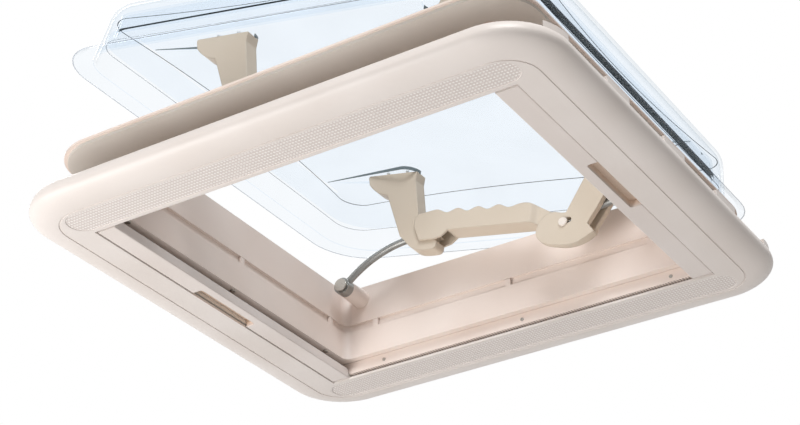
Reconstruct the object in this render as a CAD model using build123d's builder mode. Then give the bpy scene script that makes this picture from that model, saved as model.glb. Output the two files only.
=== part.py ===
from build123d import *

import os
from math import atan2, cos, degrees, hypot, radians, sin

# Caravan roof window for a 400 mm roof opening, drawn with its dome tilted open.
# Frame: origin at the middle of the room-side face, +Z up through the roof,
# +X towards the flyscreen side, millimetres.
# The feature that takes the most skill is the bulbous roll of the inner trim: one thin
# wall whose section is swept round rounded corners and runs into the flat face.

os.makedirs("parts", exist_ok=True)

# Inner trim
OPEN_X = 434.0
OPEN_Y = 392.0
TRIM_X = 540.0
TRIM_Y = 526.0
TRIM_CORNER = 60.0
ROLL_REACH = 27.0
ROLL_MID = 12.0
ROLL_LEAN = 60.0
WALL = 2.5
GROOVE_W = 1.6
GROOVE_D = 0.7
TAB_LEN = 42.0
TAB_PITCH = 111.0
TAB_COUNT = 5
TAB_IN = 1.8
TAB_OUT = TRIM_X / 2 - TAB_IN
TAB_W = 8.0
CEILING_Z = 25.4

# Dotted grille strips
GRILLE_LEN = 462.0
GRILLE_W = 34.4
GRILLE_Y = 216.2
GRILLE_SINK = 1.2
GRILLE_RIM = 1.4

# Light shaft and outer frame
SHAFT_X = 390.0
SHAFT_Y = 372.0
SHAFT_CORNER = 9.0
SHAFT_T = 2.2
LEDGE_Z = 17.0
LEDGE_IN_X = 34.0
LEDGE_IN_Y = 35.0
LEDGE_OUT_X = TRIM_X / 2 - LEDGE_IN_X
LEDGE_OUT_Y = TRIM_Y / 2 - LEDGE_IN_Y
GROOVE_LOW = 48.0
GROOVE_HIGH = 56.0
SHAFT_TOP = 97.0
SLEEVE_GAP = 0.5
SLEEVE_T = 1.9
SLEEVE_LOW = 30.0
RIB_PITCH = 158.0
RIB_W = 6.0
FLANGE_Z = 66.0
FLANGE_T = 3.0
FLANGE_LIP = 8.0
FLANGE_CORNER = 46.0
GASKET_T = 3.0
GASKET_GAP = 6.4
WATER_BAR_IN = 29.0
WATER_BAR_H = 6.0

# Dome, in its closed position
DOME_HALF_X = 235.0
DOME_HALF_Y = 233.0
FLANGE_HALF = DOME_HALF_X + FLANGE_LIP
GASKET_IN = SHAFT_X / 2 + SHAFT_T + SLEEVE_GAP + SLEEVE_T + GASKET_GAP
WATER_BAR = FLANGE_HALF - WATER_BAR_IN
DOME_CORNER = 44.0
RIM_Z = 73.0
DOME_TOP = 138.0
DOME_TAPER = 8.0
DOME_T = 3.0
CROWN_R = 26.0
PLATEAU_Z = 120.0
PAD_H = 3.0
PAD_R = 15.0
PAD_END = 109.0
PAD_FULL = 165.0
HEAD_Z = PLATEAU_Z - PAD_H
STEP_Z = 96.4
INNER_FLANGE = DOME_HALF_X - 7.0
STEP_HALF = INNER_FLANGE - 4.0
PLATEAU_HALF = STEP_HALF - 8.0
INNER_T = 2.0
SEAL_W = 9.0
TILT = 12.5

# Stays, legs and grips
PLANE_Y = 152.0
PIVOT_X = 174.6
PIVOT_Z = 82.6
FOOT_X = 96.0
FOOT_Z = 42.0
STAY_LEN = 87.0
STAY_BULGE = 8.0
TUBE_R = 4.0
EYE_R = 4.8
EYE_W = 8.0
DISC_R = 9.0
DISC_W = 10.0
BOSS_R = 10.0
PIVOT_R = 3.0
FIT = 0.05
FOOT_PIN_R = 2.0
SLOT_R = 3.1
SLOT_RUN_LEFT = 11.4
SLOT_RUN_RIGHT = 6.2
SLOT_TURN_RIGHT = 21.4
CHANNEL_W = 9.4
NOSE_W = 16.4
FORK_GAP = 0.6
CHEEK = 2.6
GRIP_W = NOSE_W + 2 * FORK_GAP + 2 * CHEEK
LEG_W = GRIP_W
SKIN = 1.6
HEAD_GAP = 0.3
PIN_HEAD_R = 4.9
PIN_HEAD_T = 1.6
PIN_HEAD_TAPER = 20
LEG_SCREW_PITCH = 24.0
GRIP_PIN_X = 80.0
GRIP_PIN_Z = 46.5
GRIP_PIN_R = 2.5
TONGUE_W = 12.0
TONGUE_R = 7.0
NECK_START = 49.0
NECK_END = 62.0
SCALLOP_PITCH = 23.8
SCALLOP_FIRST = -57.4
SCALLOP_TOP = 68.0
SCALLOP_LOW = 64.0
GRIP_LOW = 44.5
WEB_X = -43.0
FOOT_TIP = -55.5
FOOT_LOW = 25.6
FOOT_TOP = GRIP_LOW - 1.0
HEAD_ROUND = 2.0
LEFT_HEAD_OUT = -155.0
LEFT_HEAD_IN = -94.0
LEFT_COL_TOP = -127.0
LEFT_COL_Z = 93.0
LEFT_COL_LOW = -101.5
LEFT_COL_IN = -77.0
RIGHT_HEAD_OUT = 164.0
RIGHT_HEAD_IN = 121.5
RIGHT_COL_TOP = 108.5
RIGHT_COL_LOW = 93.6
RIGHT_COL_OUT = 146.0
KNUCKLE_LOW = 15.8
INNER_CHEEK = CHANNEL_W / 2

# Bars, blinds and rails
BAR_LOW = 0.6
BAR_HIGH = 10.2
BAR_GAP = 0.8
BLACKOUT_W = 19.6
FLYSCREEN_W = 21.6
RECESS_LEN = 88.0
RECESS_Y = -7.0
RECESS_W = 11.0
RECESS_R = 3.0
RECESS_TOP = 8.0
SHOE_LOW = 2.8
SHOE_HIGH = 4.2
SHOE_LEN = 20.0
RAIL_FACE = 193.4
RAIL_W = 16.6
RAIL_STOP = 3.0
RAIL_BACK = RAIL_FACE + RAIL_W
RAIL_SLOT = RAIL_BACK - RAIL_STOP
BAR_END_GAP = 0.8
BAR_HALF = RAIL_FACE - BAR_END_GAP
SHOE_END_GAP = 2.0
SHOE_REACH = RAIL_SLOT - SHOE_END_GAP
RAIL_LOW = 4.6
RAIL_HIGH = 16.7
PLEAT_LOW = 3.2
PLEAT_HIGH = 11.8
PLEAT_PITCH = 2.3
PLEAT_T = 0.5
PLEAT_COUNT = 10
CASE_OUT = TRIM_X / 2 - ROLL_REACH
CASE_END_GAP = 3.4
CASE_HALF = RAIL_FACE - CASE_END_GAP
CASE_T = 1.2
CASE_TOP = 14.8
RAIL_END_GAP = 1.0
RAIL_LEN = 2 * (CASE_OUT - RAIL_END_GAP)

# Screws
SCREW_R = 1.75
SCREW_HEAD_R = 3.0
SCREW_HEAD_H = 1.6
LEDGE_SCREW_X = 199.4
LEDGE_SCREW_SHIFT = -8.9
LEDGE_SCREW_PITCH = 163.0
RAIL_SCREW_Z = 10.0
RAIL_SCREW_SHIFT = 10.0
RAIL_SCREW_PITCH = 163.0

SIDES = {"far": 1, "near": -1}


def opened(part):
    """Turn a piece of the dome from closed to tilted, about the rim line on the +X side."""
    return part.rotate(Axis((DOME_HALF_X, 0, RIM_Z), (0, 1, 0)), TILT)


def dome_point(x, z):
    """Where a point of the closed dome lies when the dome is tilted."""
    dx = x - DOME_HALF_X
    dz = z - RIM_Z
    turn = radians(TILT)
    return DOME_HALF_X + dx * cos(turn) + dz * sin(turn), RIM_Z - dx * sin(turn) + dz * cos(turn)


def save(part, name):
    part.label = name
    export_step(part, f"parts/{name}.step")


# Inner trim: flat face, swept roll, raised spacer tabs and a hairline groove
half_x = TRIM_X / 2
half_y = TRIM_Y / 2
inner_rise = ROLL_MID - WALL
lean = radians(ROLL_LEAN)
face_x = TRIM_X - 2 * ROLL_REACH
face_y = TRIM_Y - 2 * ROLL_REACH
face_corner = TRIM_CORNER - ROLL_REACH

with BuildPart() as inner_trim:
    with BuildLine(Plane.XY) as roll_path:
        Line((half_x, 0), (half_x, half_y - TRIM_CORNER))
        CenterArc((half_x - TRIM_CORNER, half_y - TRIM_CORNER), TRIM_CORNER, 0, 90)
        Line((half_x - TRIM_CORNER, half_y), (TRIM_CORNER - half_x, half_y))
        CenterArc((TRIM_CORNER - half_x, half_y - TRIM_CORNER), TRIM_CORNER, 90, 90)
        Line((-half_x, half_y - TRIM_CORNER), (-half_x, TRIM_CORNER - half_y))
        CenterArc((TRIM_CORNER - half_x, TRIM_CORNER - half_y), TRIM_CORNER, 180, 90)
        Line((TRIM_CORNER - half_x, -half_y), (half_x - TRIM_CORNER, -half_y))
        CenterArc((half_x - TRIM_CORNER, TRIM_CORNER - half_y), TRIM_CORNER, 270, 90)
        Line((half_x, TRIM_CORNER - half_y), (half_x, 0))
    with BuildSketch(Plane.XZ) as roll_section:
        with BuildLine():
            low = EllipticalCenterArc((half_x - ROLL_REACH, ROLL_MID), ROLL_REACH, ROLL_MID, 270, arc_size=90)
            top = CenterArc((half_x - ROLL_MID, ROLL_MID), ROLL_MID, 0, ROLL_LEAN)
            in_top = CenterArc((half_x - ROLL_MID, ROLL_MID), inner_rise, 0, ROLL_LEAN)
            in_low = EllipticalCenterArc(
                (half_x - ROLL_REACH, ROLL_MID), ROLL_REACH - WALL, inner_rise, 270, arc_size=90
            )
            Line(top @ 1, in_top @ 1)
            Line(low @ 0, in_low @ 0)
        make_face()
    sweep(path=roll_path.wire())
    with BuildSketch(Plane.XY):
        RectangleRounded(face_x, face_y, face_corner)
        Rectangle(OPEN_X, OPEN_Y, mode=Mode.SUBTRACT)
    extrude(amount=WALL)
    with BuildSketch(Plane.XY):
        RectangleRounded(face_x, face_y, face_corner)
        RectangleRounded(face_x - 2 * GROOVE_W, face_y - 2 * GROOVE_W, face_corner - GROOVE_W, mode=Mode.SUBTRACT)
    extrude(amount=GROOVE_D, mode=Mode.SUBTRACT)
    with BuildSketch(Plane.XY):
        with Locations((0, GRILLE_Y), (0, -GRILLE_Y)):
            SlotOverall(GRILLE_LEN, GRILLE_W)
    extrude(amount=GRILLE_SINK, mode=Mode.SUBTRACT)
    tab_low = ROLL_MID + ROLL_MID * sin(lean) - 2 * WALL
    with BuildSketch(Plane.XY.offset(tab_low)):
        with Locations((TAB_OUT - TAB_W / 2, 0), (TAB_W / 2 - TAB_OUT, 0)):
            with GridLocations(0, TAB_PITCH, 1, TAB_COUNT):
                Rectangle(TAB_W, TAB_LEN)
        RectangleRounded(TRIM_X - 2 * WALL, TRIM_Y - 2 * WALL, TRIM_CORNER - WALL, mode=Mode.INTERSECT)
    extrude(amount=CEILING_Z - tab_low)
save(inner_trim.part, "inner_trim")


# Dotted grille inserts, each in its sunk stadium of the face
for side, sign in SIDES.items():
    with BuildPart() as grille:
        with BuildSketch(Plane.XY):
            with Locations((0, sign * GRILLE_Y)):
                SlotOverall(GRILLE_LEN, GRILLE_W)
        extrude(amount=GRILLE_SINK)
        with BuildSketch(Plane.XY):
            with Locations((0, sign * GRILLE_Y)):
                SlotOverall(GRILLE_LEN - 2 * GRILLE_RIM, GRILLE_W - 2 * GRILLE_RIM)
        extrude(amount=GRILLE_SINK / 2, mode=Mode.SUBTRACT)
    save(grille.part, f"grille_{side}")


# Light shaft: the lower collar with the ledge over the blinds
with BuildPart() as light_shaft:
    with BuildSketch(Plane.XY.offset(LEDGE_Z)):
        RectangleRounded(SHAFT_X + 2 * SHAFT_T, SHAFT_Y + 2 * SHAFT_T, SHAFT_CORNER + SHAFT_T)
    extrude(amount=GROOVE_LOW - LEDGE_Z)
    with BuildSketch(Plane.XY.offset(LEDGE_Z)):
        RectangleRounded(2 * LEDGE_OUT_X, 2 * LEDGE_OUT_Y, SHAFT_CORNER)
    extrude(amount=WALL)
    with BuildSketch(Plane.XY.offset(LEDGE_Z)):
        RectangleRounded(2 * LEDGE_OUT_X, 2 * LEDGE_OUT_Y, SHAFT_CORNER)
        RectangleRounded(2 * LEDGE_OUT_X - 4 * WALL, 2 * LEDGE_OUT_Y - 4 * WALL, SHAFT_CORNER, mode=Mode.SUBTRACT)
    extrude(amount=CEILING_Z - LEDGE_Z)
    with BuildSketch(Plane.XY.offset(GROOVE_LOW)):
        with GridLocations(SHAFT_X + SHAFT_T, RIB_PITCH, 2, 3):
            Rectangle(SHAFT_T, RIB_W)
        with GridLocations(RIB_PITCH, SHAFT_Y + SHAFT_T, 3, 2):
            Rectangle(RIB_W, SHAFT_T)
    extrude(amount=GROOVE_HIGH - GROOVE_LOW - SLEEVE_GAP)
    with BuildSketch(Plane.XY.offset(LEDGE_Z)):
        RectangleRounded(SHAFT_X, SHAFT_Y, SHAFT_CORNER)
    extrude(amount=GROOVE_HIGH - LEDGE_Z, mode=Mode.SUBTRACT)
    with Locations((0, LEDGE_SCREW_SHIFT, LEDGE_Z)):
        with GridLocations(2 * LEDGE_SCREW_X, LEDGE_SCREW_PITCH, 2, 3):
            Hole(SCREW_R + FIT, 2 * WALL)
save(light_shaft.part, "light_shaft")


# Outer frame: roof flange, upstand, sleeve round the shaft, water bar and stay bosses
sleeve_in = SHAFT_T + SLEEVE_GAP
sleeve_out = sleeve_in + SLEEVE_T
with BuildPart() as outer_frame:
    with BuildSketch(Plane.XY.offset(SLEEVE_LOW)):
        RectangleRounded(SHAFT_X + 2 * sleeve_out, SHAFT_Y + 2 * sleeve_out, SHAFT_CORNER + sleeve_out)
    extrude(amount=FLANGE_Z - SLEEVE_LOW)
    with BuildSketch(Plane.XY.offset(SLEEVE_LOW)):
        RectangleRounded(SHAFT_X + 2 * sleeve_in, SHAFT_Y + 2 * sleeve_in, SHAFT_CORNER + sleeve_in)
    extrude(amount=GROOVE_HIGH - SLEEVE_LOW, mode=Mode.SUBTRACT)
    with BuildSketch(Plane.XY.offset(FLANGE_Z)):
        RectangleRounded(2 * FLANGE_HALF, 2 * FLANGE_HALF, FLANGE_CORNER)
    extrude(amount=FLANGE_T)
    fillet(outer_frame.faces().sort_by(Axis.Z)[-1].outer_wire().edges(), FLANGE_T / 2)
    with BuildSketch(Plane.XY.offset(FLANGE_Z + FLANGE_T)):
        RectangleRounded(2 * WATER_BAR, 2 * WATER_BAR, FLANGE_CORNER / 2)
        RectangleRounded(2 * WATER_BAR - 2 * WALL, 2 * WATER_BAR - 2 * WALL, FLANGE_CORNER / 2 - WALL, mode=Mode.SUBTRACT)
    extrude(amount=WATER_BAR_H)
    with BuildSketch(Plane.XY.offset(FLANGE_Z + FLANGE_T)):
        RectangleRounded(SHAFT_X + 2 * SHAFT_T, SHAFT_Y + 2 * SHAFT_T, SHAFT_CORNER + SHAFT_T)
    extrude(amount=SHAFT_TOP - FLANGE_Z - FLANGE_T)
    with BuildSketch(Plane.XY.offset(GROOVE_HIGH)):
        RectangleRounded(SHAFT_X, SHAFT_Y, SHAFT_CORNER)
    extrude(amount=SHAFT_TOP - GROOVE_HIGH, mode=Mode.SUBTRACT)
    boss_end = PLANE_Y + DISC_W / 2 + HEAD_GAP
    for sign in SIDES.values():
        with BuildSketch(Plane.XZ.offset(-sign * (SHAFT_Y / 2 + SHAFT_T))):
            with Locations((PIVOT_X, PIVOT_Z), (-PIVOT_X, PIVOT_Z)):
                Circle(BOSS_R)
        extrude(amount=sign * (SHAFT_Y / 2 + SHAFT_T - boss_end), taper=2)
        with BuildSketch(Plane.XZ.offset(-sign * boss_end)):
            with Locations((PIVOT_X, PIVOT_Z), (-PIVOT_X, PIVOT_Z)):
                Circle(PIVOT_R + FIT)
        extrude(amount=-sign * (SHAFT_Y / 2 - boss_end), mode=Mode.SUBTRACT)
save(outer_frame.part, "outer_frame")


# Gasket under the flange and the soft seal that the dome's rim closes on
with BuildPart() as roof_gasket:
    with BuildSketch(Plane.XY.offset(FLANGE_Z - GASKET_T)):
        RectangleRounded(2 * FLANGE_HALF - 2 * WALL, 2 * FLANGE_HALF - 2 * WALL, FLANGE_CORNER)
        RectangleRounded(2 * GASKET_IN, 2 * GASKET_IN, SHAFT_CORNER, mode=Mode.SUBTRACT)
    extrude(amount=GASKET_T)
save(roof_gasket.part, "roof_gasket")

with BuildPart() as dome_seal:
    with BuildSketch(Plane.XY.offset(FLANGE_Z + FLANGE_T)):
        RectangleRounded(2 * DOME_HALF_X + 2, 2 * DOME_HALF_Y + 2, DOME_CORNER + 1)
        RectangleRounded(
            2 * (DOME_HALF_X + 1 - SEAL_W), 2 * (DOME_HALF_Y + 1 - SEAL_W), DOME_CORNER + 1 - SEAL_W, mode=Mode.SUBTRACT
        )
    extrude(amount=RIM_Z - FLANGE_Z - FLANGE_T)
save(dome_seal.part, "dome_seal")


# Dome: the outer pane with its skirt
with BuildPart() as dome_outer:
    with BuildSketch(Plane.XY.offset(RIM_Z)):
        RectangleRounded(2 * DOME_HALF_X, 2 * DOME_HALF_Y, DOME_CORNER)
    extrude(amount=DOME_TOP - RIM_Z, taper=DOME_TAPER)
    fillet(dome_outer.faces().sort_by(Axis.Z)[-1].edges(), CROWN_R)
    offset(amount=-DOME_T, openings=dome_outer.faces().sort_by(Axis.Z)[0])
save(opened(dome_outer.part), "dome_outer_pane")

# Dome: the inner pane, a stepped tray with a flat plateau
with BuildPart() as dome_inner:
    with BuildSketch(Plane.XY.offset(STEP_Z)):
        RectangleRounded(2 * STEP_HALF, 2 * STEP_HALF, DOME_CORNER - WALL)
    with BuildSketch(Plane.XY.offset(PLATEAU_Z + INNER_T)):
        RectangleRounded(2 * PLATEAU_HALF, 2 * PLATEAU_HALF, DOME_CORNER / 2)
    loft()
    offset(amount=-INNER_T, openings=dome_inner.faces().sort_by(Axis.Z)[0])
    with BuildSketch(Plane.XY.offset(STEP_Z)):
        RectangleRounded(2 * INNER_FLANGE, 2 * INNER_FLANGE - 4, DOME_CORNER - WALL)
        RectangleRounded(2 * STEP_HALF - 3, 2 * STEP_HALF - 3, DOME_CORNER - 2 * WALL, mode=Mode.SUBTRACT)
    extrude(amount=INNER_T)
    for hand in (-1, 1):
        with BuildSketch(Plane.XY.offset(HEAD_Z)):
            for sign in SIDES.values():
                with BuildSketch(mode=Mode.PRIVATE) as drop:
                    with Locations((hand * PAD_END, sign * (PLANE_Y - 2))):
                        Circle(PAD_R)
                    with Locations((hand * (PLATEAU_HALF - INNER_T), sign * PLANE_Y)):
                        Circle(INNER_T / 2)
                    make_hull()
                add(drop.sketch)
        extrude(amount=PAD_H + INNER_T / 2)
        with BuildSketch(Plane.XZ):
            with BuildLine():
                Polyline(
                    (hand * (PLATEAU_HALF + INNER_T), PLATEAU_Z),
                    (hand * (PLATEAU_HALF - INNER_T), PLATEAU_Z),
                    (hand * PAD_FULL, HEAD_Z),
                    (hand * (PLATEAU_HALF + INNER_T), HEAD_Z),
                    close=True,
                )
            make_face()
        extrude(amount=PLANE_Y + LEG_W, both=True, mode=Mode.SUBTRACT)
save(opened(dome_inner.part), "dome_inner_pane")


# Legs, grips, stays, pins: one set beside the far wall and its mirror beside the near wall
def leg_left(sign):
    """Left leg: flanged head with a corbel, tapering column and hooked foot, one narrow blade."""
    with BuildPart() as leg:
        with BuildSketch(Plane.XZ.offset(-sign * PLANE_Y)):
            with BuildLine():
                Polyline((LEFT_HEAD_IN, HEAD_Z), (LEFT_HEAD_OUT, HEAD_Z), (LEFT_HEAD_OUT + 3, HEAD_Z - 10))
                Spline((LEFT_HEAD_OUT + 3, HEAD_Z - 10), (LEFT_HEAD_OUT + 17, HEAD_Z - 21), (LEFT_COL_TOP, LEFT_COL_Z))
                Polyline((LEFT_COL_TOP, LEFT_COL_Z), (LEFT_COL_LOW, FOOT_Z + 1))
                Spline(
                    (LEFT_COL_LOW, FOOT_Z + 1),
                    (LEFT_COL_LOW + 9, FOOT_Z - 7),
                    (LEFT_COL_LOW + 19, FOOT_LOW + 2),
                    (LEFT_COL_LOW + 29, FOOT_LOW),
                    (FOOT_TIP - 5, FOOT_LOW + 0.2),
                )
                Spline((FOOT_TIP - 5, FOOT_LOW + 0.2), (FOOT_TIP - 1, FOOT_LOW + 2), (FOOT_TIP, FOOT_LOW + 5))
                Polyline(
                    (FOOT_TIP, FOOT_LOW + 5),
                    (FOOT_TIP, FOOT_LOW + 9),
                    (FOOT_TIP - 6, FOOT_LOW + 12),
                    (FOOT_TIP - 6, FOOT_LOW + 15.5),
                    (FOOT_TIP - 1, FOOT_LOW + 16.5),
                    (FOOT_TIP - 1, FOOT_TOP),
                    (LEFT_COL_IN, FOOT_TOP),
                    (LEFT_COL_IN - 17, HEAD_Z - 10),
                    (LEFT_HEAD_IN, HEAD_Z),
                )
            make_face()
        extrude(amount=NOSE_W / 2, both=True)
        corners = leg.edges().filter_by(Axis.Y).group_by(Axis.X)
        fillet(corners[0], HEAD_ROUND)
        with BuildSketch(Plane.XZ.offset(-sign * PLANE_Y)):
            with BuildLine():
                Polyline(
                    (-FOOT_X - 60, FOOT_Z + 33),
                    (-FOOT_X - 60, 10),
                    (-FOOT_X - 8, FOOT_Z - 24),
                    (-FOOT_X + 14, FOOT_Z - 6),
                    (-FOOT_X + 16, FOOT_Z + 6),
                    (-FOOT_X + 2, FOOT_Z + 12),
                    (-FOOT_X - 14, FOOT_Z + 33),
                    close=True,
                )
            make_face()
        extrude(amount=CHANNEL_W / 2, both=True, mode=Mode.SUBTRACT)
        with BuildSketch(Plane.XZ.offset(-sign * PLANE_Y)):
            with Locations((-FOOT_X + 4.2, FOOT_Z + 1.0)):
                SlotCenterToCenter(SLOT_RUN_LEFT, 2 * SLOT_R)
        extrude(amount=NOSE_W / 2 - SKIN, both=True, mode=Mode.SUBTRACT)
    return leg.part


def leg_right(sign):
    """Right leg: flanged head, splayed column and the round knuckle that cradles the grip's tongue."""
    with BuildPart() as leg:
        with BuildSketch(Plane.XZ.offset(-sign * PLANE_Y)):
            with BuildLine():
                Polyline((RIGHT_HEAD_IN, HEAD_Z), (RIGHT_COL_TOP, 86.6), (RIGHT_COL_LOW, 51))
                Spline(
                    (RIGHT_COL_LOW, 51),
                    (86, 51.4),
                    (79, 52.6),
                    (70, 49),
                    (63.5, 39),
                    (63.5, 28),
                    (73, 19.5),
                    (89, KNUCKLE_LOW + 0.4),
                    (102, KNUCKLE_LOW),
                    (111, 18),
                )
                Polyline((111, 18), (118.5, 22.4), (127, 28), (119, 37), (121, 42), (127, 53), (RIGHT_COL_OUT, 96))
                Spline((RIGHT_COL_OUT, 96), (RIGHT_HEAD_OUT - 6, HEAD_Z - 10), (RIGHT_HEAD_OUT, HEAD_Z - 5))
                Polyline((RIGHT_HEAD_OUT, HEAD_Z - 5), (RIGHT_HEAD_OUT - 1, HEAD_Z), (RIGHT_HEAD_IN, HEAD_Z))
            make_face()
        extrude(amount=LEG_W / 2, both=True)
        with BuildSketch(Plane.XZ.offset(-sign * (PLANE_Y - INNER_CHEEK))):
            with BuildLine():
                Polyline((68, 27), (50, 27), (50, 0), (140, 0), (140, 58), (127.8, 55.1))
                Spline((127.8, 55.1), (124.8, 44.6), (120, 36.4), (111.6, 29), (99, 24), (80, 23.6), (68, 27))
            make_face()
        extrude(amount=-sign * LEG_W, mode=Mode.SUBTRACT)
        with BuildSketch(Plane.XZ.offset(-sign * PLANE_Y)):
            with BuildLine():
                Polyline(
                    (50, GRIP_PIN_Z + 30),
                    (GRIP_PIN_X + 12, GRIP_PIN_Z + 30),
                    (GRIP_PIN_X + TONGUE_R + FORK_GAP, GRIP_PIN_Z + 14),
                    (GRIP_PIN_X + TONGUE_R + FORK_GAP, GRIP_PIN_Z - TONGUE_R - FORK_GAP),
                    (GRIP_PIN_X - 12, GRIP_PIN_Z - TONGUE_R - 2),
                    (50, GRIP_PIN_Z - TONGUE_R - 5),
                    close=True,
                )
            make_face()
        extrude(amount=TONGUE_W / 2 + FORK_GAP, both=True, mode=Mode.SUBTRACT)
        with BuildSketch(Plane.XZ.offset(-sign * PLANE_Y)):
            with BuildLine():
                Polyline(
                    (FOOT_X - 11, FOOT_Z - 9),
                    (FOOT_X - 11, FOOT_Z + 12),
                    (FOOT_X + 14, FOOT_Z + 37),
                    (FOOT_X + 60, FOOT_Z + 37),
                    (FOOT_X + 60, 10),
                    (FOOT_X + 16, 10),
                    close=True,
                )
            make_face()
        extrude(amount=CHANNEL_W / 2, both=True, mode=Mode.SUBTRACT)
        with BuildSketch(Plane.XZ.offset(-sign * PLANE_Y)):
            with Locations((FOOT_X - 1.4, FOOT_Z - 0.4)):
                SlotCenterToCenter(SLOT_RUN_RIGHT, 2 * SLOT_R, rotation=SLOT_TURN_RIGHT)
        extrude(amount=LEG_W, both=True, mode=Mode.SUBTRACT)
        with BuildSketch(Plane.XZ.offset(-sign * PLANE_Y)):
            with Locations((GRIP_PIN_X, GRIP_PIN_Z)):
                Circle(GRIP_PIN_R + FIT)
        extrude(amount=LEG_W / 2 - SKIN, both=True, mode=Mode.SUBTRACT)
    return leg.part


def grip(sign):
    """Grip: a square bar with finger waves on the dome side, a fork over the left leg, a swan neck."""
    with BuildPart() as bar:
        with BuildSketch(Plane.XZ.offset(-sign * PLANE_Y)):
            with BuildLine():
                waves = [(-79.5, SCALLOP_TOP - 2.5), (SCALLOP_FIRST - 8, SCALLOP_TOP - 0.6)]
                for i in range(4):
                    crest = SCALLOP_FIRST + i * SCALLOP_PITCH
                    waves.append((crest, SCALLOP_TOP - 0.3 * i))
                    waves.append((crest + SCALLOP_PITCH / 2, SCALLOP_LOW - 0.3 * i))
                waves.append((SCALLOP_FIRST + 4 * SCALLOP_PITCH, SCALLOP_TOP - 2.4))
                waves.append((56, SCALLOP_TOP - 4.2))
                waves.append((68, SCALLOP_TOP - 10))
                waves.append((GRIP_PIN_X, GRIP_PIN_Z + TONGUE_R))
                Spline(*waves)
                ThreePointArc(
                    (GRIP_PIN_X, GRIP_PIN_Z + TONGUE_R),
                    (GRIP_PIN_X + TONGUE_R, GRIP_PIN_Z),
                    (GRIP_PIN_X, GRIP_PIN_Z - TONGUE_R),
                )
                Spline((GRIP_PIN_X, GRIP_PIN_Z - TONGUE_R), (66, 41.2), (53, GRIP_LOW - 0.3), (46, GRIP_LOW))
                Polyline((46, GRIP_LOW), (WEB_X + 1, GRIP_LOW), (WEB_X - 6, 38), (WEB_X - 14, 35.5), (-75, 35))
                Spline((-75, 35), (-80.5, 45), (-84.5, 57), (-79.5, SCALLOP_TOP - 2.5))
            make_face()
        extrude(amount=GRIP_W / 2, both=True)
        for cheek in (1, -1):
            middle = sign * PLANE_Y
            wide = middle + cheek * GRIP_W / 2
            slim = middle + cheek * TONGUE_W / 2
            with BuildSketch(Plane.XY):
                with BuildLine():
                    Spline((NECK_START, wide), (NECK_END, slim), tangents=((1, 0), (1, 0)))
                    Polyline(
                        (NECK_END, slim),
                        (GRIP_PIN_X + GRIP_W, slim),
                        (GRIP_PIN_X + GRIP_W, wide + cheek),
                        (NECK_START, wide + cheek),
                        (NECK_START, wide),
                    )
                make_face()
            extrude(amount=HEAD_Z, mode=Mode.SUBTRACT)
        with BuildSketch(Plane.XZ.offset(-sign * PLANE_Y)):
            with BuildLine():
                Polyline((-110, 0), (WEB_X, 0), (WEB_X, 57), (-66, 57), (-66, 100), (-110, 100), close=True)
            make_face()
        extrude(amount=NOSE_W / 2 + FORK_GAP, both=True, mode=Mode.SUBTRACT)
        with BuildSketch(Plane.XZ.offset(-sign * PLANE_Y)):
            with Locations((GRIP_PIN_X, GRIP_PIN_Z)):
                Circle(GRIP_PIN_R + FIT)
        extrude(amount=GRIP_W, both=True, mode=Mode.SUBTRACT)
    return bar.part


def stay(sign, hand):
    """Stay: a bent tube between the pivot disc on the frame and the eye in a leg's foot."""
    foot = dome_point(hand * FOOT_X, FOOT_Z)
    run_x = foot[0] - hand * PIVOT_X
    run_z = foot[1] - PIVOT_Z
    reach = hypot(run_x, run_z)
    ux = run_x / reach
    uz = run_z / reach
    start = (hand * PIVOT_X, PIVOT_Z)
    end = (hand * PIVOT_X + STAY_LEN * ux, PIVOT_Z + STAY_LEN * uz)
    rise = -hand
    middle = (
        (start[0] + end[0]) / 2 - rise * uz * STAY_BULGE,
        (start[1] + end[1]) / 2 + rise * ux * STAY_BULGE,
    )
    with BuildPart() as tube:
        with BuildLine(Plane.XZ.offset(-sign * PLANE_Y)) as bend:
            ThreePointArc(start, middle, end)
        with BuildSketch(bend.line ^ 0):
            Circle(TUBE_R)
        sweep()
        with BuildSketch(Plane.XZ.offset(-sign * PLANE_Y)):
            with Locations(start):
                Circle(DISC_R)
        extrude(amount=DISC_W / 2, both=True)
        with BuildSketch(Plane.XZ.offset(-sign * PLANE_Y)):
            with Locations(end):
                Circle(EYE_R)
        extrude(amount=EYE_W / 2, both=True)
        with BuildSketch(Plane.XZ.offset(-sign * PLANE_Y)):
            with Locations(start):
                Circle(PIVOT_R + FIT)
            with Locations(end):
                Circle(FOOT_PIN_R + FIT)
        extrude(amount=DISC_W, both=True, mode=Mode.SUBTRACT)
    return tube.part, end


stay_ends = {}
for side, sign in SIDES.items():
    save(opened(leg_left(sign)), f"leg_left_{side}")
    save(opened(leg_right(sign)), f"leg_right_{side}")
    save(opened(grip(sign)), f"grip_{side}")
    for hand, word in ((-1, "left"), (1, "right")):
        tube, stay_ends[word] = stay(sign, hand)
        save(tube, f"stay_{word}_{side}")


# Pins and screws of the opening gear
with BuildPart() as pivot_screws:
    for sign in SIDES.values():
        with BuildSketch(Plane.XZ.offset(-sign * (PLANE_Y - DISC_W / 2 - HEAD_GAP))):
            with Locations((PIVOT_X, PIVOT_Z), (-PIVOT_X, PIVOT_Z)):
                Circle(PIVOT_R)
        extrude(amount=-sign * (SHAFT_Y / 2 - PLANE_Y + DISC_W / 2 - 3))
        with BuildSketch(Plane.XZ.offset(-sign * (PLANE_Y - DISC_W / 2 - HEAD_GAP))):
            with Locations((PIVOT_X, PIVOT_Z), (-PIVOT_X, PIVOT_Z)):
                Circle(DISC_R - 2)
        extrude(amount=sign * WALL)
save(pivot_screws.part, "pivot_screws")

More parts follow.
